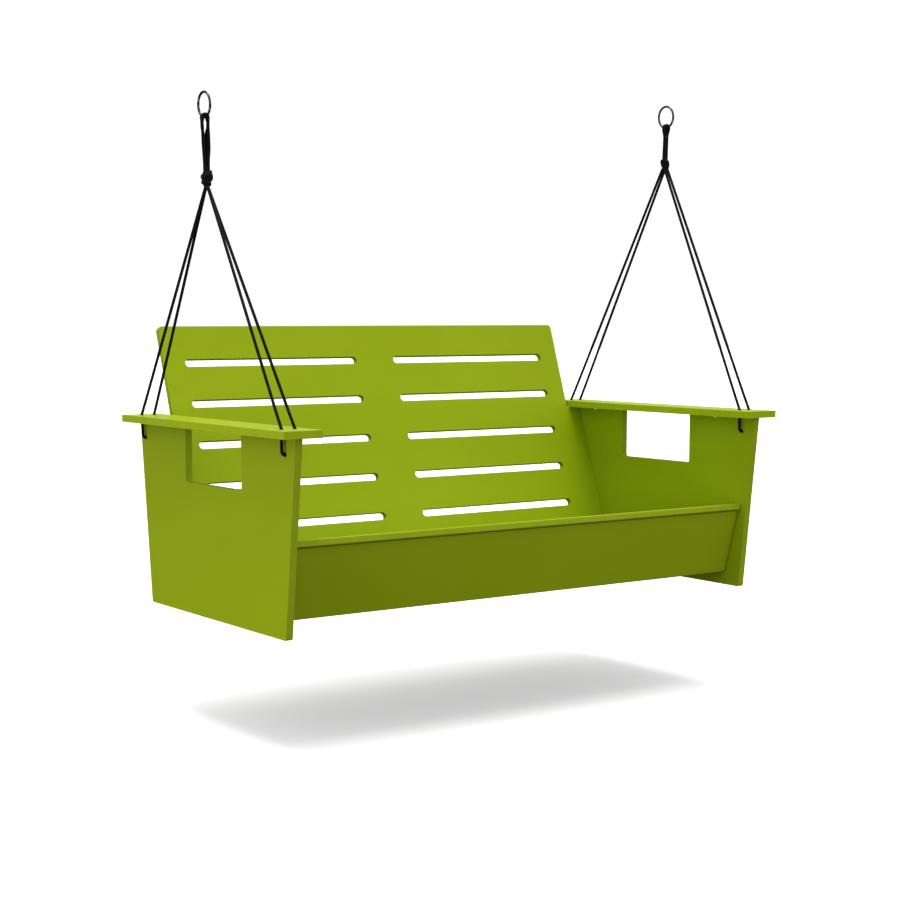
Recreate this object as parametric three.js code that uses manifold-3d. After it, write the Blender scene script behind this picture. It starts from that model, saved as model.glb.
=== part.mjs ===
// Hanging porch swing: a bench of solid plastic sheet,
// slung from two steel rings by one doubled rope at each end.
// Millimetres, +Z up. +X runs along the bench to its right-hand end, and the bench faces -Y.
// The origin is under the middle of the bench, level with the bottom edges of the side panels.
import * as THREE from "three";
import { mergeVertices } from "three/addons/utils/BufferGeometryUtils.js";
import Module from "manifold-3d";

const wasm = await Module();
wasm.setup();

// ---------- Driving dimensions ----------
const SHEET = 19; // thickness of every panel but the back
const BACK_SHEET = 16;
const OUTER_WIDTH = 1524; // over the outer faces of the side panels
const GAP = 0.3; // between neighbouring pieces
const HALF_DEPTH = 440.75; // to the armrests' front ends and to the back panel's rearmost edge

const SIDE_HEIGHT = 487;
const SIDE_TOP = { front: -420.5, rear: 394.5 };
const SIDE_BOTTOM = { front: -370, rear: 338 };
const SIDE_CORNER = 7;
const WINDOW = { front: -160, rear: 134, bottom: 342.5, corner: 9 }; // open at the top, under the armrest

const ARMREST_WIDTH = 110;
const ARMREST_LENGTH = 858.5;
const ARMREST_CORNER = 4;

const BACK_RECLINE = THREE.MathUtils.degToRad(19.1); // from vertical
const BACK_TOP_Z = 743.5; // front top edge
const BACK_BOTTOM = 120; // bottom edge, measured up the slope
const BACK_UPPER_HALF_WIDTH = 690.5; // above the armrests
const BACK_TOP_CORNER = 12;
const SLOT_ROWS = 5;
const SLOT_HEIGHT = 22;
const SLOT_INNER_X = 65;
const SLOT_OUTER_X = 626;
const SLOT_TOP_MARGIN = 106; // from the top edge to the middle of the first row
const SLOT_PITCH = 117.4;

const SEAT_TILT = THREE.MathUtils.degToRad(10); // down towards the back
const SEAT_FRONT = { y: -376.5, z: 222.5 }; // bottom corner of the front edge

const APRON_LEAN = THREE.MathUtils.degToRad(14.6); // its foot sits further back than its top
const APRON_FOOT = { y: -317.5, z: 36.5 }; // bottom corner of the front face

const CLEAT_DEPTH = 38;
const CLEATS = {
  seat: { from: 96, to: 446 }, // along the seat, from its front edge
  back: { from: 170, to: 400 }, // up the back panel's slope
  apron: { from: 18, to: 140 }, // up the apron
};

const ROPE = 8; // diameter
const ROPE_SIDES = 8;
const ROPE_HOLE = 13; // diameter of the holes it passes through
const STRAND_OFFSET = 18.5; // of the two strands from the side panel's mid-plane
const ROPE_STATIONS = {
  front: { armrestY: -370.5, panelY: -371.5 },
  rear: { armrestY: 368.5, panelY: 363.5 },
};
const PANEL_HOLE_Z = 446.5;

const RING_WIRE = 6.5;
const RING_OUTER = 68;
const RING_X = 772;
const RING_Y = -8; // 27 mm ahead of the bench's centre of mass: it hangs within 2 degrees of level
const ENDS = [
  { name: "left", side: -1, ringZ: 1292, knotZ: 1112, knotHeight: 46, knotWidth: 31 },
  { name: "right", side: 1, ringZ: 1358, knotZ: 1220, knotHeight: 33, knotWidth: 28 },
];

const PLATE = { length: 72, width: 20, thickness: 3 }; // let into the armrest's underside
const PLATE_Y = { front: -282.5, rear: 241.5 };
const PLATE_SCREW_OFFSET = 26; // of its two screws from the side panel's mid-plane
const PAN_HEAD = { radius: 5.5, height: 5 };
const SHANK_RADIUS = 2.5;
const PLATE_SCREW_LENGTH = 14;
const EDGE_SCREW_LENGTH = 36;
const CLEAT_SCREW_LENGTH = SHEET + 12;

// ---------- Places worked out from them ----------
const INNER_X = OUTER_WIDTH / 2 - SHEET; // inner faces of the side panels
const PANEL_MID_X = OUTER_WIDTH / 2 - SHEET / 2;
const ARMREST_TOP = SIDE_HEIGHT + SHEET;
const RING_MID_RADIUS = (RING_OUTER - RING_WIRE) / 2;
// Each ring stands square to the line between the two.
const RING_TILT = Math.atan2(ENDS[1].ringZ - ENDS[0].ringZ, 2 * RING_X);
const LOOP_RADIUS = (RING_WIRE + ROPE) / 2 + 0.55; // of the rope's centre line round the ring's wire
const LOOP_SPACING = ROPE - 0.3; // between the two loops, which lie pressed together
const STRAND_END_Z = ARMREST_TOP - 5; // inside the armrest's holes

// ---------- Materials ----------
const material = (color, roughness, metalness) =>
  new THREE.MeshStandardMaterial({ color, roughness, metalness });
const greenSheet = material(0x8ba01e, 0.6, 0);
const blackRope = material(0x141414, 0.9, 0);
const polishedSteel = material(0xc9ccd0, 0.2, 1);
const plainSteel = material(0xb4b7ba, 0.35, 1);

// ---------- Solids ----------
const vector = (x, y, z) => new THREE.Vector3(x, y, z);

function toSolid(geometry) {
  const bare = geometry.index ? geometry.toNonIndexed() : geometry.clone();
  bare.deleteAttribute("normal");
  bare.deleteAttribute("uv");
  const merged = mergeVertices(bare, 1e-3);
  return new wasm.Manifold(
    new wasm.Mesh({
      numProp: 3,
      vertProperties: merged.attributes.position.array,
      triVerts: new Uint32Array(merged.index.array),
    }),
  );
}

function toGeometry(solid) {
  const { vertProperties, triVerts } = solid.getMesh();
  return new THREE.BufferGeometry()
    .setAttribute("position", new THREE.BufferAttribute(vertProperties, 3))
    .setIndex(new THREE.BufferAttribute(triVerts, 1));
}

function subtract(geometry, cutters) {
  return toGeometry(cutters.reduce((solid, c) => solid.subtract(toSolid(c)), toSolid(geometry)));
}

function join(geometries) {
  const [first, ...others] = geometries.map(toSolid);
  return toGeometry(others.reduce((solid, s) => solid.add(s), first));
}

// A closed outline of corners [x, y, radius], each rounded by its radius.
function roundedShape(corners) {
  const shape = new THREE.Shape();
  corners.forEach(([x, y, radius], i) => {
    const corner = new THREE.Vector2(x, y);
    const before = new THREE.Vector2(...corners.at(i - 1)).sub(corner).normalize();
    const after = new THREE.Vector2(...corners[(i + 1) % corners.length]).sub(corner).normalize();
    const cutBack = radius / Math.tan(Math.acos(before.dot(after)) / 2);
    const start = corner.clone().addScaledVector(before, cutBack);
    const end = corner.clone().addScaledVector(after, cutBack);
    if (i === 0) shape.moveTo(start.x, start.y);
    else shape.lineTo(start.x, start.y);
    if (radius > 0) shape.quadraticCurveTo(x, y, end.x, end.y);
  });
  shape.closePath();
  return shape;
}

function circleHole(x, y, diameter) {
  return new THREE.Path().absarc(x, y, diameter / 2, 0, 2 * Math.PI, true);
}

// A (y, z) profile extruded along X between two places.
function alongX(shape, fromX, toX, curveSegments = 8) {
  return new THREE.ExtrudeGeometry(shape, { depth: toX - fromX, bevelEnabled: false, curveSegments })
    .applyMatrix4(new THREE.Matrix4().makeBasis(vector(0, 1, 0), vector(0, 0, 1), vector(1, 0, 0)))
    .translate(fromX, 0, 0);
}

// A straight-sided (y, z) profile.
const profile = (points) => roundedShape(points.map(([y, z]) => [y, z, 0]));

const ropeSection = new THREE.Shape().absarc(0, 0, ROPE / 2, 0, 2 * Math.PI);

function ropeTube(points, steps) {
  const extrudePath = new THREE.CatmullRomCurve3(points, false, "centripetal");
  return new THREE.ExtrudeGeometry(ropeSection, { extrudePath, steps, curveSegments: ROPE_SIDES / 2 });
}

const panHead = (head) => [
  [head, 0],
  [head, 2],
  [head * 0.62, PAN_HEAD.height],
  [0, PAN_HEAD.height],
];

// A screw along Y with its head up from y = 0. Grown by a clearance, it is the hole it sits in.
function screw({ length, countersunk = false }, clearance = 0) {
  const shank = SHANK_RADIUS + clearance;
  const head = PAN_HEAD.radius + clearance;
  const tip = [0, -length - clearance];
  const outline = countersunk
    ? [tip, [shank, tip[1]], [shank, -(head - shank)], [head, 0], [0, 0]]
    : [tip, [shank, tip[1]], [shank, 0], ...panHead(head)];
  return new THREE.LatheGeometry(outline.map(([r, y]) => new THREE.Vector2(r, y)), 12);
}

const turnedTo = (direction) => new THREE.Quaternion().setFromUnitVectors(vector(0, 1, 0), direction);

function screwHole({ length, countersunk = false, at, headTo }) {
  return screw({ length, countersunk }, GAP)
    .applyQuaternion(turnedTo(headTo))
    .translate(at.x, at.y, at.z);
}

// ---------- Slopes of the seat, the back and the apron ----------
const slope = (angle) => ({ along: vector(0, Math.sin(angle), Math.cos(angle)) });
const backUp = slope(BACK_RECLINE).along;
const backRearward = vector(0, Math.cos(BACK_RECLINE), -Math.sin(BACK_RECLINE));
const backLength = BACK_TOP_Z / Math.cos(BACK_RECLINE);
const backFoot = vector(0, HALF_DEPTH - BACK_SHEET * backRearward.y - backLength * backUp.y, 0);

const seatRearward = vector(0, Math.cos(SEAT_TILT), -Math.sin(SEAT_TILT));
const seatUp = vector(0, Math.sin(SEAT_TILT), Math.cos(SEAT_TILT));
const seatCorner = vector(0, SEAT_FRONT.y, SEAT_FRONT.z);

const apronUp = slope(-APRON_LEAN).along;
const apronRearward = vector(0, Math.cos(APRON_LEAN), Math.sin(APRON_LEAN));
const apronCorner = vector(0, APRON_FOOT.y, APRON_FOOT.z);

// The point reached from a corner by going so far along each of two directions.
const step = (corner, u, along, v = 0, across = seatUp) =>
  corner.clone().addScaledVector(along, u).addScaledVector(across, v);

// How far along a line from a point it meets a plane.
const reach = (point, direction, planePoint, planeNormal) =>
  planePoint.clone().sub(point).dot(planeNormal) / direction.dot(planeNormal);

const seatLengthAt = (v) =>
  reach(step(seatCorner, 0, seatRearward, v), seatRearward, step(backFoot, -GAP, backRearward), backRearward);
const apronHeightAt = (v) =>
  reach(step(apronCorner, 0, apronUp, v, apronRearward), apronUp, step(seatCorner, -GAP, seatUp), seatUp);

const flat = (points) => profile(points.map((p) => [p.y, p.z]));

// ---------- Hardware places ----------
const holder = (direction, at) => ({ headTo: direction, at });

function cleatScrews(side, corner, along, across, { from, to }) {
  const inward = vector(-side, 0, 0);
  const x = side * (INNER_X - GAP - SHEET);
  return [from + 35, to - 35].map((u) => {
    const at = step(corner, u, along, CLEAT_DEPTH / 2, across).setX(x);
    return { ...holder(inward, at), length: CLEAT_SCREW_LENGTH };
  });
}

const seatDown = seatUp.clone().negate();
const backRearFace = step(backFoot, BACK_SHEET + GAP, backRearward);
const apronRearFace = step(apronCorner, SHEET + GAP, apronRearward);
const seatUnderside = step(seatCorner, -GAP, seatUp);

const cleatLayout = {
  seat: [seatUnderside, seatRearward, seatDown],
  back: [backRearFace, backUp, backRearward],
  apron: [apronRearFace, apronUp, apronRearward],
};

const plateScrews = (side, y) =>
  [1, -1].map((way) => ({
    length: PLATE_SCREW_LENGTH,
    ...holder(vector(0, 0, -1), vector(side * (PANEL_MID_X + way * PLATE_SCREW_OFFSET), y, SIDE_HEIGHT)),
  }));

const edgeScrew = (side, y) => ({
  length: EDGE_SCREW_LENGTH,
  countersunk: true,
  ...holder(vector(0, 0, 1), vector(side * PANEL_MID_X, y, SIDE_HEIGHT + GAP + PLATE.thickness)),
});

// ---------- Panels ----------
function sidePanel(side) {
  const outline = roundedShape([
    [SIDE_BOTTOM.front, 0, SIDE_CORNER],
    [SIDE_BOTTOM.rear, 0, SIDE_CORNER],
    [SIDE_TOP.rear, SIDE_HEIGHT, 1],
    [WINDOW.rear, SIDE_HEIGHT, 1],
    [WINDOW.rear, WINDOW.bottom, WINDOW.corner],
    [WINDOW.front, WINDOW.bottom, WINDOW.corner],
    [WINDOW.front, SIDE_HEIGHT, 1],
    [SIDE_TOP.front, SIDE_HEIGHT, 1],
  ]);
  for (const { panelY } of Object.values(ROPE_STATIONS)) {
    outline.holes.push(circleHole(panelY, PANEL_HOLE_Z, ROPE_HOLE));
  }
  const edges = [side * INNER_X, (side * OUTER_WIDTH) / 2].sort((a, b) => a - b);
  const screws = [
    ...Object.values(PLATE_Y).map((y) => edgeScrew(side, y)),
    ...Object.entries(cleatLayout).flatMap(([name, [corner, along, across]]) =>
      cleatScrews(side, corner, along, across, CLEATS[name]),
    ),
  ];
  return subtract(alongX(outline, ...edges), screws.map(screwHole));
}

// The back is drawn flat, x along the bench and y up its slope, then leaned back.
function backPanel() {
  const lower = INNER_X - GAP;
  const shoulder = (SIDE_HEIGHT - 1) / Math.cos(BACK_RECLINE);
  const outline = roundedShape([
    [-lower, BACK_BOTTOM, 3],
    [lower, BACK_BOTTOM, 3],
    [lower, shoulder, 3],
    [BACK_UPPER_HALF_WIDTH, shoulder, 6],
    [BACK_UPPER_HALF_WIDTH, backLength, BACK_TOP_CORNER],
    [-BACK_UPPER_HALF_WIDTH, backLength, BACK_TOP_CORNER],
    [-BACK_UPPER_HALF_WIDTH, shoulder, 6],
    [-lower, shoulder, 3],
  ]);
  const end = SLOT_HEIGHT / 2;
  for (let row = 0; row < SLOT_ROWS; row++) {
    const y = backLength - SLOT_TOP_MARGIN - row * SLOT_PITCH;
    for (const side of [-1, 1]) {
      const [from, to] = [side * SLOT_INNER_X, side * SLOT_OUTER_X].sort((a, b) => a - b);
      outline.holes.push(
        new THREE.Path()
          .absarc(to - end, y, end, Math.PI / 2, -Math.PI / 2, true)
          .absarc(from + end, y, end, -Math.PI / 2, Math.PI / 2, true)
          .closePath(),
      );
    }
  }
  const options = { depth: BACK_SHEET, bevelEnabled: false, curveSegments: 5 };
  const geometry = new THREE.ExtrudeGeometry(outline, options);
  return geometry.applyMatrix4(
    new THREE.Matrix4()
      .makeBasis(vector(1, 0, 0), backUp, backRearward.clone().negate())
      .setPosition(step(backFoot, BACK_SHEET, backRearward)),
  );
}

function seatPanel() {
  const corners = [
    seatCorner,
    step(seatCorner, seatLengthAt(0), seatRearward),
    step(seatCorner, seatLengthAt(SHEET), seatRearward, SHEET),
    step(seatCorner, 0, seatRearward, SHEET),
  ];
  return alongX(flat(corners), -(INNER_X - GAP), INNER_X - GAP);
}

function frontApron() {
  const corners = [
    apronCorner,
    step(apronCorner, SHEET, apronRearward),
    step(apronCorner, apronHeightAt(SHEET), apronUp, SHEET, apronRearward),
    step(apronCorner, apronHeightAt(0), apronUp),
  ];
  return alongX(flat(corners), -(INNER_X - GAP), INNER_X - GAP);
}

function armrest(side) {
  const halfWidth = ARMREST_WIDTH / 2;
  const outline = roundedShape([
    [-halfWidth, -HALF_DEPTH, ARMREST_CORNER],
    [halfWidth, -HALF_DEPTH, ARMREST_CORNER],
    [halfWidth, -HALF_DEPTH + ARMREST_LENGTH, ARMREST_CORNER],
    [-halfWidth, -HALF_DEPTH + ARMREST_LENGTH, ARMREST_CORNER],
  ]);
  for (const { armrestY } of Object.values(ROPE_STATIONS)) {
    for (const offset of [-STRAND_OFFSET, STRAND_OFFSET]) {
      outline.holes.push(circleHole(offset, armrestY, ROPE_HOLE));
    }
  }
  const board = new THREE.ExtrudeGeometry(outline, { depth: SHEET, bevelEnabled: false, curveSegments: 8 })
    .translate(side * PANEL_MID_X, 0, SIDE_HEIGHT);
  const pockets = Object.values(PLATE_Y).map((y) =>
    new THREE.BoxGeometry(PLATE.length + 2 * GAP, PLATE.width + 2 * GAP, 2 * (PLATE.thickness + 2 * GAP))
      .translate(side * PANEL_MID_X, y, SIDE_HEIGHT),
  );
  const screws = Object.values(PLATE_Y).flatMap((y) => plateScrews(side, y));
  return subtract(board, [...pockets, ...screws.map(screwHole)]);
}

// ---------- Cleats and plates ----------
function cleat(side, corner, along, across, { from, to }, screws) {
  const corners = [
    step(corner, from, along),
    step(corner, to, along),
    step(corner, to, along, CLEAT_DEPTH, across),
    step(corner, from, along, CLEAT_DEPTH, across),
  ];
  if (THREE.ShapeUtils.isClockWise(corners.map((p) => new THREE.Vector2(p.y, p.z)))) corners.reverse();
  const faces = [side * (INNER_X - GAP), side * (INNER_X - GAP - SHEET)].sort((a, b) => a - b);
  return subtract(alongX(flat(corners), ...faces), screws.map(screwHole));
}

function plate(side, y) {
  const bar = new THREE.BoxGeometry(PLATE.length, PLATE.width, PLATE.thickness)
    .translate(side * PANEL_MID_X, y, SIDE_HEIGHT + GAP + PLATE.thickness / 2);
  return subtract(bar, [edgeScrew(side, y), ...plateScrews(side, y)].map(screwHole));
}

// ---------- Rings and ropes ----------
// Middle of the ring's wire at its lowest point.
const wireX = ({ side }) => side * RING_X + RING_MID_RADIUS * Math.sin(RING_TILT);
const wireZ = ({ ringZ }) => ringZ - RING_MID_RADIUS * Math.cos(RING_TILT);

// The rope's two loops over the ring's wire, side by side.
function ringLoops(end) {
  const loops = [-1, 1].map((way) => {
    const points = [0, 30, 60, 90, 120, 150, 180].map((degrees) => {
      const angle = THREE.MathUtils.degToRad(degrees);
      return vector(
        wireX(end) + LOOP_RADIUS * Math.cos(angle),
        RING_Y + (way * LOOP_SPACING) / 2,
        wireZ(end) + LOOP_RADIUS * Math.sin(angle),
      );
    });
    return ropeTube(points, 10);
  });
  return join(loops);
}

const knotX = (end) => {
  const rise = (end.knotZ - ARMREST_TOP) / (wireZ(end) - ARMREST_TOP);
  return THREE.MathUtils.lerp(end.side * PANEL_MID_X, wireX(end), rise);
};

// Four strands run down from the loops into the knot, whose body is a plain egg.
function knot(end) {
  const packed = ROPE / 2;
  const top = wireZ(end) - 1.5; // clear of the loops' ends
  const knotTop = end.knotZ + end.knotHeight / 2;
  const strands = [-1, 1].flatMap((wayX) =>
    [-1, 1].map((wayY) =>
      ropeTube(
        [
          vector(wireX(end) + wayX * LOOP_RADIUS, RING_Y + (wayY * LOOP_SPACING) / 2, top),
          vector(wireX(end) + wayX * 4.6, RING_Y + (wayY * LOOP_SPACING) / 2, top - 30),
          vector(knotX(end) + wayX * packed, RING_Y + wayY * packed * 0.95, knotTop),
          vector(knotX(end) + wayX * packed, RING_Y + wayY * packed * 0.95, end.knotZ),
        ],
        8,
      ),
    ),
  );
  const egg = new THREE.SphereGeometry(0.5, 14, 10)
    .scale(end.knotWidth, end.knotWidth, end.knotHeight)
    .translate(knotX(end), RING_Y, end.knotZ);
  return join([egg, ...strands]);
}

// One straight strand from under the knot into an armrest hole, where it bears on the hole's far side.
function strand(end, station, wayX) {
  const wayY = station === ROPE_STATIONS.front ? -1 : 1;
  const start = vector(knotX(end) + wayX * 4.3, RING_Y + wayY * 5.5, end.knotZ - end.knotHeight / 2 - 1);
  const foot = vector(
    end.side * PANEL_MID_X + wayX * STRAND_OFFSET,
    station.armrestY + wayY * 1.5,
    STRAND_END_Z,
  );
  return ropeTube([start, start.clone().lerp(foot, 0.5), foot], 24);
}

// The bight that hooks under the panel: down one armrest hole, through the side panel, up the other.
function bight(end, { armrestY, panelY }) {
  const top = STRAND_END_Z - 2.5; // clear of the strands' slanting ends
  const bottom = PANEL_HOLE_Z - 1.5;
  const arc = [0, 30, 60, 90, 120, 150, 180].map((degrees) => {
    const angle = THREE.MathUtils.degToRad(degrees);
    const x = end.side * PANEL_MID_X + STRAND_OFFSET * Math.cos(angle);
    return vector(x, panelY, bottom + STRAND_OFFSET * (1 - Math.sin(angle)));
  });
  const leg = (point) => [point.clone().setZ(top), point.clone().setZ((top + point.z) / 2)].map((p, i) =>
    p.setY(i ? (armrestY + panelY) / 2 : armrestY),
  );
  return ropeTube([...leg(arc[0]), ...arc, ...leg(arc.at(-1)).reverse()], 20);
}

// ---------- The assembly ----------
const swing = new THREE.Group();

function add(name, geometry, finish, parent = swing) {
  const mesh = new THREE.Mesh(geometry, finish);
  mesh.name = name;
  parent.add(mesh);
  return mesh;
}

function addScrew(name, { length, countersunk, at, headTo }) {
  const seated = countersunk ? at : at.clone().addScaledVector(headTo, GAP);
  const mesh = add(name, screw({ length, countersunk }), plainSteel);
  mesh.position.copy(seated);
  mesh.quaternion.copy(turnedTo(headTo));
}

add("back_panel", backPanel(), greenSheet);
add("seat_panel", seatPanel(), greenSheet);
add("front_apron", frontApron(), greenSheet);

for (const end of ENDS) {
  const { name, side } = end;
  add(`side_panel_${name}`, sidePanel(side), greenSheet);
  add(`armrest_${name}`, armrest(side), greenSheet);

  for (const [place, y] of Object.entries(PLATE_Y)) {
    add(`armrest_plate_${place}_${name}`, plate(side, y), plainSteel);
    addScrew(`edge_screw_${place}_${name}`, edgeScrew(side, y));
    plateScrews(side, y).forEach((each, i) =>
      addScrew(`armrest_screw_${place}_${i ? "inner" : "outer"}_${name}`, each),
    );
  }

  for (const [piece, [corner, along, across]] of Object.entries(cleatLayout)) {
    const screws = cleatScrews(side, corner, along, across, CLEATS[piece]);
    add(`${piece}_cleat_${name}`, cleat(side, corner, along, across, CLEATS[piece], screws), greenSheet);
    screws.forEach((each, i) => addScrew(`${piece}_cleat_screw_${i + 1}_${name}`, each));
  }

  const ring = add(
    `ring_${name}`,
    new THREE.TorusGeometry(RING_MID_RADIUS, RING_WIRE / 2, 10, 48),
    polishedSteel,
  );
  ring.position.set(side * RING_X, RING_Y, end.ringZ);
  ring.rotation.y = Math.PI / 2 - RING_TILT;

  add(`rope_ring_loops_${name}`, ringLoops(end), blackRope);
  add(`rope_knot_${name}`, knot(end), blackRope);
  for (const [place, station] of Object.entries(ROPE_STATIONS)) {
    for (const way of [1, -1]) {
      const label = way > 0 ? "outer" : "inner";
      add(`rope_${place}_${label}_${name}`, strand(end, station, side * way), blackRope);
    }
    add(`rope_${place}_bight_${name}`, bight(end, station), blackRope);
  }
}

export default swing;
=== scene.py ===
"""A hanging porch swing of green plastic sheet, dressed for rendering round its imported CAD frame.

Metres, +Z up."""

import math

import bmesh
import bpy
import numpy as np
from mathutils import Matrix, Vector


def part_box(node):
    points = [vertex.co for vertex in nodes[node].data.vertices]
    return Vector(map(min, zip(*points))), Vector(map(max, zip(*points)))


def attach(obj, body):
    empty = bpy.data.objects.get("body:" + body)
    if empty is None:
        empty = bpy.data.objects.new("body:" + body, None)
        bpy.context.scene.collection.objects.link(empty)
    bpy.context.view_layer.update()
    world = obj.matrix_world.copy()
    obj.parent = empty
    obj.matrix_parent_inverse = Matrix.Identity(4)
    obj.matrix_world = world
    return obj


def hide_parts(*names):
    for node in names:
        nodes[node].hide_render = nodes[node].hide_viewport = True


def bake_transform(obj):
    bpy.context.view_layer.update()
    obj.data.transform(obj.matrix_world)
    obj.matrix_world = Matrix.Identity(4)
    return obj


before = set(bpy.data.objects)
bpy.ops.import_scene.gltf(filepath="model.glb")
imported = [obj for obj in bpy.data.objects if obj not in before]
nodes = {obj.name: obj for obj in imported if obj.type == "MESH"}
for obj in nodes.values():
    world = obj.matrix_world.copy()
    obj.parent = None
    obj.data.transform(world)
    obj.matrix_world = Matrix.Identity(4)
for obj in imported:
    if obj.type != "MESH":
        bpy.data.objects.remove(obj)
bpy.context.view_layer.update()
SIDES = {"left": -1, "right": 1}

# ---------- Driving dimensions, as in the CAD ----------
ROPE = 0.008
PANEL_MID_X = 0.7525
SHEET = 0.019
SIDE_HEIGHT = 0.487
ARMREST_TOP = SIDE_HEIGHT + SHEET
STRAND_OFFSET = 0.0185
STATIONS = {
    "front": {"armrest_y": -0.3705, "panel_y": -0.3715},
    "rear": {"armrest_y": 0.3685, "panel_y": 0.3635},
}
PANEL_HOLE_Z = 0.4465
RING_X = 0.772
RING_Y = -0.008
RING_MID_RADIUS = 0.03075
RING_WIRE = 0.0065
ENDS = {
    "left": {"ring_z": 1.292, "knot_z": 1.112, "knot_height": 0.046},
    "right": {"ring_z": 1.358, "knot_z": 1.220, "knot_height": 0.033},
}
# How each end's four legs lie at depths below the wire: depth, then for the front and the rear loop
# the half spread of its two legs, their sideways shift and their place fore and aft, then the
# bundle's twist in degrees.
LEGS = {
    "left": [
        (0.012, (0.0082, -0.0016, -0.0041), (0.0082, 0.0016, 0.0041), 0),
        (0.026, (0.0078, -0.0014, -0.0040), (0.0076, 0.0013, 0.0041), 0),
        (0.040, (0.0082, -0.0010, -0.0034), (0.0046, 0.0003, 0.0044), 0),
        (0.078, (0.0078, -0.0008, -0.0034), (0.0042, 0.0, 0.0044), 0),
        (0.106, (0.0050, -0.0004, -0.0038), (0.0041, 0.0, 0.0042), -16),
    ],
    "right": [
        (0.010, (0.0060, 0.0, -0.0041), (0.0060, 0.0, 0.0041), -14),
        (0.024, (0.0041, 0.0, -0.0041), (0.0041, 0.0, 0.0041), -40),
        (0.058, (0.0040, 0.0, -0.0040), (0.0040, 0.0, 0.0040), -44),
    ],
}
# Where a pair's inner strand leaves the knot, from the middle of the pair.
PAIR = {"left": (0.0023, 0.0030), "right": (-0.0026, 0.0028)}
# Each turn of a knot: height from its middle, radius, slant in degrees and the heading it dips towards.
TURNS = {
    "left": [
        (0.0150, 0.0086, 24, 205),
        (0.0080, 0.0124, 34, 175),
        (0.0010, 0.0122, 26, 20),
        (-0.0060, 0.0108, 32, 200),
        (-0.0140, 0.0078, 20, 330),
    ],
    "right": [
        (0.0080, 0.0084, 30, 20),
        (0.0020, 0.0104, 44, 10),
        (-0.0060, 0.0090, 38, 350),
    ],
}
RING_TILT = math.atan2(ENDS["right"]["ring_z"] - ENDS["left"]["ring_z"], 2 * RING_X)
BACK_RECLINE = math.radians(19.1)
SEAT_TILT = math.radians(10)
APRON_LEAN = math.radians(14.6)
EDGE_RADIUS = 0.0038
ARMREST_EDGE_RADIUS = 0.0048
CLEAT_EDGE_RADIUS = 0.0015
SCREW_HEAD_HEIGHT = 0.005
FLOOR_Z = -0.29

# ---------- Fineness of the meshes, and the rope's braid ----------
SWEEP_SIDES = 16
RING_STEPS = 128
ROPE_STEP = 0.0017
CURVE_SAMPLES = 24
STEPS_PER_KNOT_TURN = 20
BRAID_PITCH = 0.0104
BRAID_STRANDS = 4


# ---------- Camera ----------
def make_camera():
    """A camera to the left of the swing's front, a little above its armrests, turned right towards it."""
    data = bpy.data.cameras.new("camera")
    data.sensor_width = 36
    data.lens = 69.85
    data.shift_x = 0.0556
    data.shift_y = 0.0556
    data.clip_end = 100
    camera = bpy.data.objects.new("camera", data)
    camera.location = (-2.8587, -3.9088, 0.770)
    camera.rotation_euler = (math.radians(84.004), 0, math.radians(-34.43))
    bpy.context.scene.collection.objects.link(camera)
    bpy.context.scene.camera = camera


# ---------- Node materials ----------
class Shader:
    """A Principled material, with short calls for the nodes that drive it."""

    def __init__(self, name, **values):
        self.material = bpy.data.materials.new(name)
        self.material.use_nodes = True
        self.tree = self.material.node_tree
        self.bsdf = self.tree.nodes["Principled BSDF"]
        for socket, value in values.items():
            self.bsdf.inputs[socket.replace("_", " ")].default_value = value

    def node(self, kind, inputs=None, **settings):
        made = self.tree.nodes.new("ShaderNode" + kind)
        for key, value in settings.items():
            setattr(made, key, value)
        for socket, value in (inputs or {}).items():
            if hasattr(value, "links"):
                self.tree.links.new(value, made.inputs[socket])
            else:
                made.inputs[socket].default_value = value
        return made

    def coordinates(self, output="Object", scale=(1, 1, 1)):
        source = self.node("TexCoord").outputs[output]
        return self.node("Mapping", {"Vector": source, "Scale": scale}).outputs[0]

    def noise(self, vector, scale, detail=2.0, roughness=0.5):
        inputs = {"Vector": vector, "Scale": scale, "Detail": detail, "Roughness": roughness}
        return self.node("TexNoise", inputs).outputs["Fac"]

    def ramp(self, factor, *stops):
        made = self.node("ValToRGB", {"Fac": factor})
        elements = made.color_ramp.elements
        while len(elements) < len(stops):
            elements.new(1)
        for element, (position, colour) in zip(elements, stops):
            element.position = position
            element.color = (*colour, 1) if hasattr(colour, "__len__") else (colour,) * 3 + (1,)
        return made.outputs["Color"]

    def math(self, operation, a, b=0.0):
        return self.node("Math", {0: a, 1: b}, operation=operation).outputs[0]

    def bump(self, height, strength, distance, under=None):
        inputs = {"Height": height, "Strength": strength, "Distance": distance}
        if under is not None:
            inputs["Normal"] = under
        return self.node("Bump", inputs).outputs[0]

    def link(self, output, socket):
        self.tree.links.new(output, self.bsdf.inputs[socket])


def sheet_face(name, grain):
    """Moulded face of the sheet: a fine pebble, a faint drawn grain along one way and uneven gloss."""
    s = Shader(name, IOR=1.5, Specular_IOR_Level=0.08)
    along = tuple(0.08 if i == grain else 1 for i in range(3))
    plain, drawn = s.coordinates(), s.coordinates(scale=along)
    tint = s.ramp(
        s.noise(plain, 2.3, 4),
        (0.3, (0.271, 0.361, 0.0034)),
        (0.5, (0.281, 0.374, 0.0046)),
        (0.72, (0.293, 0.388, 0.0062)),
    )
    s.link(tint, "Base Color")
    streak = s.noise(drawn, 420, 3)
    rub = s.noise(plain, 9, 5, 0.6)
    gloss = s.math("ADD", s.math("MULTIPLY", streak, 0.10), s.math("MULTIPLY", rub, 0.14))
    s.link(s.math("ADD", gloss, 0.34), "Roughness")
    waves = s.bump(s.noise(plain, 22, 2), 0.06, 0.004)
    drawn_bump = s.bump(streak, 0.05, 0.0004, waves)
    s.link(s.bump(s.noise(plain, 1500, 2), 0.12, 0.00025, drawn_bump), "Normal")
    return s.material


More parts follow.
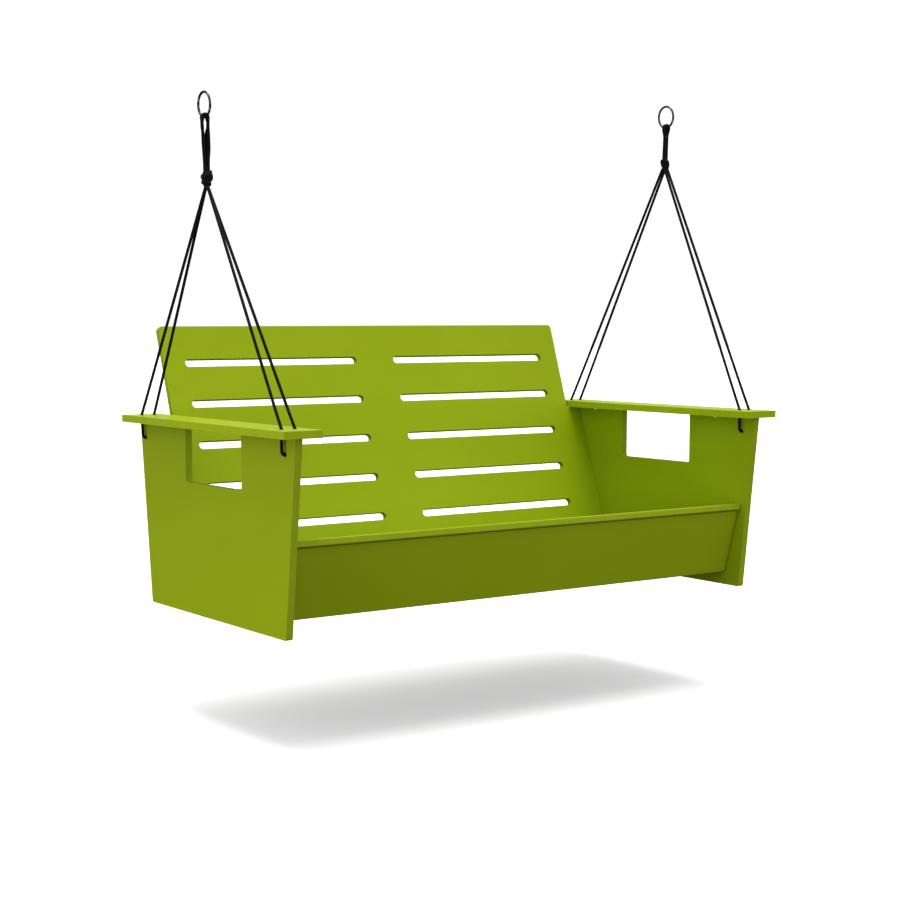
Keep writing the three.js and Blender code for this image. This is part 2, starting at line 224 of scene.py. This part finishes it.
def sheet_edge(name, along, painted_shading_factor):
    """Routed edge: duller than the faces, with fine cutter marks across the sheet. Its colour is scaled by
    the last argument: painted shade below 1 and painted light above 1, different for each copy.
    """
    s = Shader(name, IOR=1.5, Specular_IOR_Level=0.08)
    plain = s.coordinates()
    marks = s.noise(s.coordinates(scale=along), 900, 1)
    tint = s.ramp(
        s.noise(plain, 30, 4),
        (0.3, (0.290 * painted_shading_factor, 0.386 * painted_shading_factor, 0.0045)),
        (0.7, (0.315 * painted_shading_factor, 0.416 * painted_shading_factor, 0.0080)),
    )
    s.link(tint, "Base Color")
    s.link(s.math("ADD", s.math("MULTIPLY", marks, 0.16), 0.40), "Roughness")
    cut = s.bump(marks, 0.18, 0.0003)
    s.link(s.bump(s.noise(plain, 1300, 2), 0.1, 0.00025, cut), "Normal")
    return s.material


def rope_material():
    """Solid black braid. Its UVs run round the rope once in u, and along it in metres in v."""
    s = Shader("black_rope", Roughness=0.85, Specular_IOR_Level=0.12, Sheen_Weight=0.05, Sheen_Roughness=0.5)
    uv = s.node("SeparateXYZ", {"Vector": s.node("TexCoord").outputs["UV"]})
    turn = s.math("MULTIPLY", uv.outputs[0], 2 * BRAID_STRANDS * math.pi)
    run = s.math("MULTIPLY", uv.outputs[1], 4 * math.pi / BRAID_PITCH)
    right = s.math("SINE", s.math("ADD", turn, run))
    left = s.math("SINE", s.math("SUBTRACT", turn, run))
    braid = s.math("MULTIPLY", right, left)
    fibre = s.noise(s.coordinates("UV", (6, 2600, 1)), 3, 3, 0.6)
    height = s.math("ADD", s.math("MULTIPLY", braid, 0.5), s.math("MULTIPLY", fibre, 0.35))
    # Base colour follows the braid's height: darker in its grooves as painted shade and lighter on its
    # raised strands as painted highlight; the fibre noise adds random tone.
    s.link(s.ramp(height, (0.05, 0.0022), (0.35, 0.0055), (0.75, 0.013)), "Base Color")
    s.link(s.bump(height, 0.6, 0.0005), "Normal")
    return s.material


def steel_material(name, dark, light, roughness, brushed, rim=1.0, metallic=1.0):
    """Stainless steel, pale for the screws. For the rings the base colour and reflection tint are set dark
    as a painted reflection of dark surroundings, so they read against a white studio.
    """
    s = Shader(name, Metallic=metallic, Specular_Tint=(rim, rim, rim, 1))
    plain = s.coordinates()
    s.link(s.ramp(s.noise(plain, 60, 4), (0.3, dark), (0.7, light)), "Base Color")
    scratches = s.noise(s.coordinates(scale=brushed), 800, 3, 0.65)
    s.link(s.math("ADD", s.math("MULTIPLY", scratches, 0.16), roughness), "Roughness")
    s.link(s.bump(scratches, 0.03, 0.0002), "Normal")
    return s.material


# ---------- Mesh helpers ----------
def add_piece(name, mesh, body, replaces=()):
    """A smooth-shaded piece. It rides on the body, or on none if no body is given."""
    mesh.shade_smooth()
    piece = bpy.data.objects.new(name, mesh)
    bpy.context.scene.collection.objects.link(piece)
    if body:
        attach(piece, body)
    if replaces:
        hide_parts(*replaces)
    return piece


def grid_mesh(name, rings, closed=False, uv_lengths=None):
    """A tube through rings of points, with UVs round it in u and along it in v. Open ends are capped."""
    count, sides = len(rings), len(rings[0])
    verts = np.concatenate(rings)
    faces, uvs = [], []
    lengths = uv_lengths if uv_lengths is not None else np.linspace(0, 1, count + 1)
    for i in range(count if closed else count - 1):
        j = (i + 1) % count
        for k in range(sides):
            m = (k + 1) % sides
            faces.append((i * sides + k, i * sides + m, j * sides + m, j * sides + k))
            u0, u1 = k / sides, (k + 1) / sides
            v0, v1 = lengths[i], lengths[i + 1]
            uvs += [(u0, v0), (u1, v0), (u1, v1), (u0, v1)]
    if not closed:
        faces.append(tuple(reversed(range(sides))))
        faces.append(tuple(range((count - 1) * sides, count * sides)))
        uvs += [(0, 0)] * (2 * sides)
    mesh = bpy.data.meshes.new(name)
    mesh.from_pydata([tuple(v) for v in verts], [], faces)
    layer = mesh.uv_layers.new(name="UVMap")
    layer.data.foreach_set("uv", np.array(uvs, np.float32).ravel())
    return mesh


def smooth_path(points, spacing):
    """Points evenly spaced along a centripetal Catmull-Rom curve through the given ones.

    Returns them with how far along the curve each lies."""
    points = [np.array(p, float) for p in points]
    knots = [2 * points[0] - points[1], *points, 2 * points[-1] - points[-2]]
    dense = []
    for p0, p1, p2, p3 in zip(knots, knots[1:], knots[2:], knots[3:]):
        t0 = 0.0
        t1 = t0 + max(np.linalg.norm(p1 - p0), 1e-9) ** 0.5
        t2 = t1 + max(np.linalg.norm(p2 - p1), 1e-9) ** 0.5
        t3 = t2 + max(np.linalg.norm(p3 - p2), 1e-9) ** 0.5
        for t in np.linspace(t1, t2, CURVE_SAMPLES, endpoint=False):
            a1 = (t1 - t) / (t1 - t0) * p0 + (t - t0) / (t1 - t0) * p1
            a2 = (t2 - t) / (t2 - t1) * p1 + (t - t1) / (t2 - t1) * p2
            a3 = (t3 - t) / (t3 - t2) * p2 + (t - t2) / (t3 - t2) * p3
            b1 = (t2 - t) / (t2 - t0) * a1 + (t - t0) / (t2 - t0) * a2
            b2 = (t3 - t) / (t3 - t1) * a2 + (t - t1) / (t3 - t1) * a3
            dense.append((t2 - t) / (t2 - t1) * b1 + (t - t1) / (t2 - t1) * b2)
    dense.append(points[-1])
    dense = np.array(dense)
    run = np.concatenate([[0], np.cumsum(np.linalg.norm(np.diff(dense, axis=0), axis=1))])
    count = max(4, round(run[-1] / spacing))
    at = np.linspace(0, run[-1], count + 1)
    return np.column_stack([np.interp(at, run, dense[:, i]) for i in range(3)]), at


def sweep(path, section, closed=False):
    """Rings of points round a path, twisted as little as can be.

    section(i, angles) gives the radii at the path's i-th point."""
    tangents = np.gradient(path, axis=0)
    if closed:
        tangents = np.roll(path, -1, axis=0) - np.roll(path, 1, axis=0)
    tangents /= np.linalg.norm(tangents, axis=1)[:, None]
    start = np.array([0.0, 1.0, 0.0]) if abs(tangents[0][1]) < 0.9 else np.array([1.0, 0.0, 0.0])
    normal = start - tangents[0] * start.dot(tangents[0])
    rings = []
    angles = np.linspace(0, 2 * np.pi, SWEEP_SIDES, endpoint=False)
    for i, (point, tangent) in enumerate(zip(path, tangents)):
        normal = normal - tangent * normal.dot(tangent)
        normal /= np.linalg.norm(normal)
        across = np.cross(tangent, normal)
        radii = section(i, angles)
        ring = point + (np.cos(angles) * radii)[:, None] * normal
        rings.append(ring + (np.sin(angles) * radii)[:, None] * across)
    return rings


def rope_mesh(name, points):
    """A braided rope along a route, with the braid's relief in its surface.

    Returns the mesh, its line and its length."""
    path, run = smooth_path(points, ROPE_STEP)

    def section(i, angles):
        phase = 2 * np.pi * run[i] / BRAID_PITCH
        right = np.abs(np.sin(BRAID_STRANDS * angles + phase))
        left = np.abs(np.sin(BRAID_STRANDS * angles - phase))
        return ROPE / 2 * (0.945 + 0.055 * np.maximum(right, left))

    mesh = grid_mesh(name, sweep(path, section), uv_lengths=run)
    mesh.materials.append(materials["rope"])
    return mesh, path, run[-1]


def lathe(outline, steps):
    """Rings of points from an outline of (radius, height), for a piece turned about Z."""
    angles = np.linspace(0, 2 * np.pi, steps, endpoint=False)
    return [
        np.column_stack([r * np.cos(angles), r * np.sin(angles), np.full(steps, z)])
        for r, z in outline
    ]


# ---------- Sheet panels ----------
def rounded_panel(node, sheet_normal, face_material, edge_material, radius=EDGE_RADIUS):
    """The panel or cleat with its sharp edges bevelled, and its cut edges given their own finish.

    Short edges in a piece's mesh make the overlap clamp cut down its whole bevel. The seat and
    apron get the full radius, the cleats 0.3 to 1.4 mm, and the others 0.06 to 0.2 mm."""
    source = nodes[node].data
    bm = bmesh.new()
    corners = [bm.verts.new(v.co) for v in source.vertices]
    for polygon in source.polygons:
        bm.faces.new([corners[i] for i in polygon.vertices])
    bmesh.ops.remove_doubles(bm, verts=bm.verts, dist=2e-5)
    bmesh.ops.recalc_face_normals(bm, faces=bm.faces)
    bmesh.ops.dissolve_limit(
        bm, angle_limit=math.radians(0.6), use_dissolve_boundaries=False, verts=bm.verts, edges=bm.edges
    )
    sharp = [e for e in bm.edges if len(e.link_faces) == 2 and e.calc_face_angle(0) > math.radians(35)]
    bmesh.ops.bevel(
        bm,
        geom=sharp,
        offset=radius,
        offset_type="OFFSET",
        segments=3,
        profile=0.5,
        affect="EDGES",
        clamp_overlap=True,
    )
    normal = Vector(sheet_normal).normalized()
    for face in bm.faces:
        face.smooth = True
        face.material_index = 0 if abs(face.normal.dot(normal)) > 0.985 else 1
    mesh = bpy.data.meshes.new(node + "_rounded")
    bm.to_mesh(mesh)
    bm.free()
    mesh.materials.append(face_material)
    mesh.materials.append(edge_material)
    piece = add_piece(node + "_rounded", mesh, "bench", [node])
    weighted = piece.modifiers.new("normals", "WEIGHTED_NORMAL")
    weighted.mode = "FACE_AREA"
    weighted.weight = 60


def make_panels():
    back_normal = (0, math.cos(BACK_RECLINE), -math.sin(BACK_RECLINE))
    seat_normal = (0, math.sin(SEAT_TILT), math.cos(SEAT_TILT))
    apron_normal = (0, math.cos(APRON_LEAN), math.sin(APRON_LEAN))
    cross, along = materials["face_x"], materials["face_y"]
    edge_x, edge_y, edge_z = (materials[f"edge_{axis}"] for axis in "xyz")
    rounded_panel("back_panel", back_normal, cross, edge_y)
    rounded_panel("seat_panel", seat_normal, cross, edge_y)
    rounded_panel("front_apron", apron_normal, cross, edge_y)
    for side in SIDES:
        rounded_panel(f"side_panel_{side}", (1, 0, 0), along, edge_x)
        rounded_panel(f"armrest_{side}", (0, 0, 1), along, edge_z, ARMREST_EDGE_RADIUS)
        for name in ("seat", "back", "apron"):
            rounded_panel(f"{name}_cleat_{side}", (1, 0, 0), along, edge_x, CLEAT_EDGE_RADIUS)


# ---------- Rings ----------
def make_rings():
    """Rings of round wire, each with a low bead where its ends are welded."""
    for side, sign in SIDES.items():
        turn = np.linspace(0, 2 * np.pi, RING_STEPS + 1)[:-1]
        y, z = RING_MID_RADIUS * np.sin(turn), RING_MID_RADIUS * np.cos(turn)
        line = np.column_stack([np.zeros(RING_STEPS), y, z])
        weld = np.exp(-(((turn - 1.9) / 0.05) ** 2)) * 0.00028

        def section(i, angles):
            return RING_WIRE / 2 + weld[i] * (0.6 + 0.4 * np.cos(3 * angles))

        mesh = grid_mesh(f"ring_wire_{side}", sweep(line, section, True), True)
        mesh.materials.append(materials["painted_dark_ring_steel"])
        place = Matrix.Translation((sign * RING_X, RING_Y, ENDS[side]["ring_z"]))
        mesh.transform(place @ Matrix.Rotation(-RING_TILT, 4, "Y"))
        add_piece(f"ring_wire_{side}", mesh, "rings", [f"ring_{side}"])


# ---------- Ropes ----------
def wire_point(side):
    """Middle of the ring's wire at its lowest point."""
    return np.array(
        [
            SIDES[side] * RING_X + RING_MID_RADIUS * math.sin(RING_TILT),
            RING_Y,
            ENDS[side]["ring_z"] - RING_MID_RADIUS * math.cos(RING_TILT),
        ]
    )


def knot_point(side):
    """Middle of the knot, on the line from the side panel's mid-plane to the ring."""
    wire = wire_point(side)
    rise = (ENDS[side]["knot_z"] - ARMREST_TOP) / (wire[2] - ARMREST_TOP)
    x = SIDES[side] * PANEL_MID_X * (1 - rise) + wire[0] * rise
    return np.array([x, RING_Y, ENDS[side]["knot_z"]])


def make_loops(side):
    """Two bights of the doubled rope, each from the knot up, over the ring's wire and back down to it.

    They sit side by side on the wire, and below it their four legs draw together into the bundle."""
    wire, knot = wire_point(side), knot_point(side)
    over = (RING_WIRE + ROPE) / 2 + 0.00015
    packed = ROPE / 2 + 0.0001
    gathered = knot[2] + ENDS[side]["knot_height"] / 2
    for i, way in enumerate((-1, 1)):

        def leg(height, side_way, stage, turn):
            """A point on one leg: its bundle's middle there, and its own place in the bundle, twisted."""
            spread, shift, deep = stage
            across, angle = side_way * spread + shift, math.radians(turn)
            share = min(1.0, max(0.0, (height - gathered) / (wire[2] - gathered)))
            middle = knot + (wire - knot) * share
            x = across * math.cos(angle) - deep * math.sin(angle)
            y = across * math.sin(angle) + deep * math.cos(angle)
            return (middle[0] + x, middle[1] + y, height)

        last_turn = LEGS[side][-1][3]
        tight = (packed, 0.0, way * packed)
        legs = {}
        for side_way in (1, -1):
            points = [leg(wire[2] - 0.003, side_way, (over, 0.0, way * packed), 0)]
            points += [leg(wire[2] - stage[0], side_way, stage[1 + i], stage[3]) for stage in LEGS[side]]
            points += [leg(gathered + 0.003, side_way, tight, last_turn * 1.1)]
            points += [leg(gathered - 0.008, side_way, tight, last_turn * 1.2)]
            legs[side_way] = points
        top = [
            (wire[0] + over * math.cos(a), wire[1] + way * packed, wire[2] + over * math.sin(a))
            for a in np.radians([0, 30, 60, 90, 120, 150, 180])
        ]
        mesh, path, length = rope_mesh(f"rope_loop_{i + 1}_{side}", [*reversed(legs[1]), *top, *legs[-1]])
        replaced = [f"rope_ring_loops_{side}"] if i == 0 else ()
        piece = add_piece(f"rope_loop_{i + 1}_{side}", mesh, None, replaced)
        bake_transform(piece)


def make_knot(side):
    """Turns of rope drawn tight round a core, each crossing the last at another slant."""
    knot, turns = knot_point(side), TURNS[side]
    height = ENDS[side]["knot_height"]
    points = []
    rows = np.array([(z, r, math.radians(slant), math.radians(towards)) for z, r, slant, towards in turns])
    for i in range(STEPS_PER_KNOT_TURN * len(turns) + 1):
        at = i / STEPS_PER_KNOT_TURN
        angle = 2 * np.pi * at
        low = min(int(at), len(turns) - 1)
        high = min(low + 1, len(turns) - 1)
        blend = np.clip((at - low - 0.7) / 0.3, 0, 1)
        z, radius, slant, towards = rows[low] * (1 - blend) + rows[high] * blend
        ends = min(1.0, 0.35 + 5 * at / len(turns), 0.35 + 5 * (1 - at / len(turns)))
        dip = -np.tan(slant) * radius * np.cos(angle - towards)
        flat = radius * ends * (1 - 0.12 * np.cos(angle - towards) ** 2)
        points.append(knot + [flat * np.cos(angle), flat * np.sin(angle), z + dip * ends])
    mesh, _, _ = rope_mesh(f"knot_turns_{side}", points)
    replaced = [f"rope_knot_{side}"]
    turns_piece = add_piece(f"knot_turns_{side}", mesh, f"ropes_{side}", replaced)
    axis = [knot + [0, 0, z * (height / 2 + 0.001)] for z in np.linspace(1, -1, 7)]
    line, run = smooth_path(axis, 0.0015)
    at = np.linspace(-1, 1, len(line))
    wide = max(row[1] for row in turns)
    shape = 0.0062 + (wide - 0.0066) * (1 - np.abs(at) ** 2.2)

    def section(i, angles):
        return shape[i] * (0.94 + 0.06 * np.abs(np.sin(2 * angles + run[i] * 260)))

    mesh = grid_mesh(f"knot_core_{side}", sweep(line, section), uv_lengths=run)
    mesh.materials.append(materials["rope"])
    core_piece = add_piece(f"knot_core_{side}", mesh, f"ropes_{side}")
    return [turns_piece, core_piece]


def make_strands(side, knot_pieces):
    """Four taut strands from the knot into the armrest's holes."""
    end, knot, sign = ENDS[side], knot_point(side), SIDES[side]
    for place, station in STATIONS.items():
        way_y = -1 if place == "front" else 1
        for label, way_x in (("outer", sign), ("inner", -sign)):
            node = f"rope_{place}_{label}_{side}"
            foot_x = sign * PANEL_MID_X + way_x * STRAND_OFFSET
            foot = np.array([foot_x, station["armrest_y"], ARMREST_TOP])
            lead = 1 if label == "inner" else -1
            head_x, head_y = lead * PAIR[side][0], lead * PAIR[side][1] + way_y * 0.0042
            head = knot + [head_x, head_y, 0.004 - end["knot_height"] / 2]
            away = head - foot
            bend = foot + away / away[2] * 0.006 + [0, way_y * 0.0006, 0]
            route = [foot + [0, way_y * 0.0012, -0.0075], foot + [0, way_y * 0.0011, -0.001], bend]
            route += [foot + away * t for t in (0.06, 0.3, 0.55, 0.8, 0.96)] + [head]
            mesh, path, length = rope_mesh(node + "_braid", route)
            piece = add_piece(node + "_braid", mesh, f"ropes_{side}", [node])


def make_bights(side):
    """Under each armrest the two strands are one rope, which hooks through the hole in the side panel."""
    sign = SIDES[side]
    for place, station in STATIONS.items():
        node = f"rope_{place}_bight_{side}"
        bottom = PANEL_HOLE_Z - 0.0015
        half = [(STRAND_OFFSET, 0.0125), (0.0178, 0.0066), (0.0148, 0.0022), (0.0105, 0.0006)]
        turn = [*half, (0.0, 0.0), *[(-x, z) for x, z in reversed(half)]]
        arc = [(sign * PANEL_MID_X + x, station["panel_y"], bottom + z) for x, z in turn]
        top, middle = ARMREST_TOP - 0.0035, (ARMREST_TOP + bottom + half[0][1]) / 2
        middle_y = (station["armrest_y"] + station["panel_y"]) / 2
        route = [(arc[0][0], station["armrest_y"], top), (arc[0][0], middle_y, middle), *arc]
        route += [(arc[-1][0], middle_y, middle), (arc[-1][0], station["armrest_y"], top)]
        mesh, path, length = rope_mesh(node + "_braid", route)
        piece = add_piece(node + "_braid", mesh, "bench", [node])


# ---------- Screws and plates ----------
def pan_head_mesh(name):
    """A pan head with a square recess and the start of its shank, its bearing face at z = 0."""
    steps = 24
    square = np.linspace(0, 2 * np.pi, steps, endpoint=False)
    inner = 0.0019 / np.maximum(np.abs(np.cos(square)), np.abs(np.sin(square)))
    outer = lathe(
        [
            (0.0001, -0.0005),
            (0.0024, -0.0005),
            (0.0024, 0.0),
            (0.0052, 0.0),
            (0.0055, 0.0004),
            (0.0055, 0.0016),
            (0.0052, 0.0028),
            (0.0045, 0.0040),
            (0.0036, 0.0047),
            (0.0030, 0.0049),
        ],
        steps,
    )
    for z, shrink in ((0.0048, 1.0), (0.0024, 0.9), (0.0023, 0.05)):
        x, y = inner * shrink * np.cos(square), inner * shrink * np.sin(square)
        outer.append(np.column_stack([x, y, np.full(steps, z)]))
    mesh = grid_mesh(name, outer)
    mesh.materials.append(materials["plain"])
    return mesh


def add_head(name, at, direction, replaces=()):
    """A screw head with its bearing face at a point and its top towards the direction."""
    turn = Vector((0, 0, 1)).rotation_difference(Vector(direction)).to_matrix().to_4x4()
    mesh = pan_head_mesh(name)
    mesh.transform(Matrix.Translation(at) @ turn)
    return add_piece(name, mesh, "bench", replaces)


def make_hardware():
    """Heads for the CAD model's armrest and cleat screws, and steel on its plates and edge screws."""
    for side, sign in SIDES.items():
        for place in ("front", "rear"):
            for label in ("outer", "inner"):
                node = f"armrest_screw_{place}_{label}_{side}"
                low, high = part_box(node)
                at = ((low.x + high.x) / 2, (low.y + high.y) / 2, low.z + SCREW_HEAD_HEIGHT)
                add_head(node + "_head", at, (0, 0, -1), [node])
            for node in (f"armrest_plate_{place}_{side}", f"edge_screw_{place}_{side}"):
                nodes[node].data.materials.clear()
                nodes[node].data.materials.append(materials["plain"])
        for cleat in ("seat", "back", "apron"):
            for i in (1, 2):
                node = f"{cleat}_cleat_screw_{i}_{side}"
                low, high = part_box(node)
                head_x = high.x - SCREW_HEAD_HEIGHT if sign < 0 else low.x + SCREW_HEAD_HEIGHT
                at = (head_x, (low.y + high.y) / 2, (low.z + high.z) / 2)
                add_head(node + "_head", at, (-sign, 0, 0), [node])


def make_cleat_fixings():
    """Screws driven through each cleat into the sheet it carries, their heads on the cleat's free face."""
    outward = {
        "seat": Vector((0, -math.sin(SEAT_TILT), -math.cos(SEAT_TILT))),
        "back": Vector((0, math.cos(BACK_RECLINE), -math.sin(BACK_RECLINE))),
        "apron": Vector((0, math.cos(APRON_LEAN), math.sin(APRON_LEAN))),
    }
    shares = {"seat": (0.12, 0.5, 0.88), "back": (0.2, 0.8), "apron": (0.25, 0.75)}
    for side in SIDES:
        for cleat, out in outward.items():
            along = out.cross(Vector((1, 0, 0)))
            points = [v.co for v in nodes[f"{cleat}_cleat_{side}"].data.vertices]
            face = max(p.dot(out) for p in points)
            low, high = min(p.dot(along) for p in points), max(p.dot(along) for p in points)
            middle = (min(p.x for p in points) + max(p.x for p in points)) / 2
            for i, share in enumerate(shares[cleat]):
                at = Vector((middle, 0, 0)) + along * (low + (high - low) * share) + out * face
                add_head(f"{cleat}_fixing_{i + 1}_{side}", at, out)


# ---------- Light and floor ----------
def soft_sun(name, towards, spread, irradiance):
    """An even, distant light: a softbox far off, spread over that many degrees."""
    data = bpy.data.lights.new(name, "SUN")
    data.energy = irradiance
    data.angle = math.radians(spread)
    light = bpy.data.objects.new(name, data)
    light.location = Vector(towards) * 4
    light.rotation_euler = (-Vector(towards)).to_track_quat("-Z", "Y").to_euler()
    bpy.context.scene.collection.objects.link(light)


def soft_box(name, place, facing, size, power):
    """A rectangular softbox near the object."""
    data = bpy.data.lights.new(name, "AREA")
    data.shape = "RECTANGLE"
    data.size, data.size_y = size
    data.energy = power
    light = bpy.data.objects.new(name, data)
    light.location = place
    light.rotation_euler = Vector(facing).to_track_quat("-Z", "Y").to_euler()
    light.visible_camera = False
    bpy.context.scene.collection.objects.link(light)


def make_stage():
    """A white studio sky, a soft overhead light and two softboxes, over a faintly glowing pale floor.

    The camera sees a pure white backdrop all round, and the floor casts no light back on the object."""
    world = bpy.data.worlds.new("studio")
    bpy.context.scene.world = world
    world.use_nodes = True
    tree = world.node_tree
    height = tree.nodes.new("ShaderNodeSeparateXYZ")
    tree.links.new(tree.nodes.new("ShaderNodeTexCoord").outputs["Generated"], height.inputs[0])
    sky = tree.nodes.new("ShaderNodeValToRGB")
    tree.links.new(height.outputs["Z"], sky.inputs["Fac"])
    sky.color_ramp.elements[0].color = (0.03, 0.03, 0.03, 1)
    sky.color_ramp.elements[0].position = 0.0
    sky.color_ramp.elements[1].color = (1, 1, 1, 1)
    sky.color_ramp.elements[1].position = 0.001
    backdrop = tree.nodes.new("ShaderNodeMix")
    backdrop.data_type = "RGBA"
    camera_ray = tree.nodes.new("ShaderNodeLightPath").outputs["Is Camera Ray"]
    tree.links.new(camera_ray, backdrop.inputs["Factor"])
    tree.links.new(sky.outputs["Color"], backdrop.inputs["A"])
    backdrop.inputs["B"].default_value = (1.3, 1.3, 1.3, 1)
    tree.links.new(backdrop.outputs["Result"], tree.nodes["Background"].inputs["Color"])
    tree.nodes["Background"].inputs["Strength"].default_value = 0.85
    soft_sun("overhead", (0, 0, 1), 38, 2.95)
    soft_box("left", (-3.2, -0.3, 0.12), (1, 0, 0), (1.6, 0.6), 26.0)
    soft_box("low_front", (0.2, -1.75, -0.2), (0, 0.45, 0.9), (2.2, 0.35), 8.0)

    s = Shader("floor", Roughness=0.85, Emission_Color=(1, 1, 1, 1), Emission_Strength=0.22)
    s.link(s.ramp(s.noise(s.coordinates(), 3, 4), (0.3, 0.86), (0.7, 0.89)), "Base Color")
    mesh = bpy.data.meshes.new("floor")
    half = 40
    corners = [(x * half, y * half, FLOOR_Z) for x, y in ((-1, -1), (1, -1), (1, 1), (-1, 1))]
    mesh.from_pydata(corners, [], [(0, 1, 2, 3)])
    mesh.materials.append(s.material)
    floor = bpy.data.objects.new("floor", mesh)
    bpy.context.scene.collection.objects.link(floor)
    floor.visible_diffuse = False
    floor.visible_glossy = False
    bpy.context.scene.view_settings.view_transform = "Standard"


# ---------- Build ----------
make_camera()
materials = {
    "face_x": sheet_face("green_sheet_along_x", 0),
    "face_y": sheet_face("green_sheet_along_y", 1),
    # The last argument paints shade or light into each copy of the edge: darker on the side panels and
    # cleats (0.94) and on the seat, back and apron (0.86), lighter on the armrests (1.05).
    "edge_x": sheet_edge("green_edge_across_x", (0.04, 1, 1), 0.94),
    "edge_y": sheet_edge("green_edge_across_y", (1, 0.04, 0.5), 0.86),
    "edge_z": sheet_edge("green_edge_across_z", (1, 1, 0.04), 1.05),
    "rope": rope_material(),
    # The rings' dark base colour and 0.2 reflection tint are painted reflection of dark surroundings, not
    # the steel's own colour.
    "painted_dark_ring_steel": steel_material("polished_steel", 0.06, 0.15, 0.12, (1, 1, 1), 0.2),
    "plain": steel_material("plain_steel", 0.80, 0.92, 0.34, (1, 0.1, 1), 1.0, 0.6),
}
for side in SIDES:
    make_loops(side)
    make_strands(side, make_knot(side))
    make_bights(side)
make_rings()
make_panels()
make_hardware()
make_cleat_fixings()
make_stage()
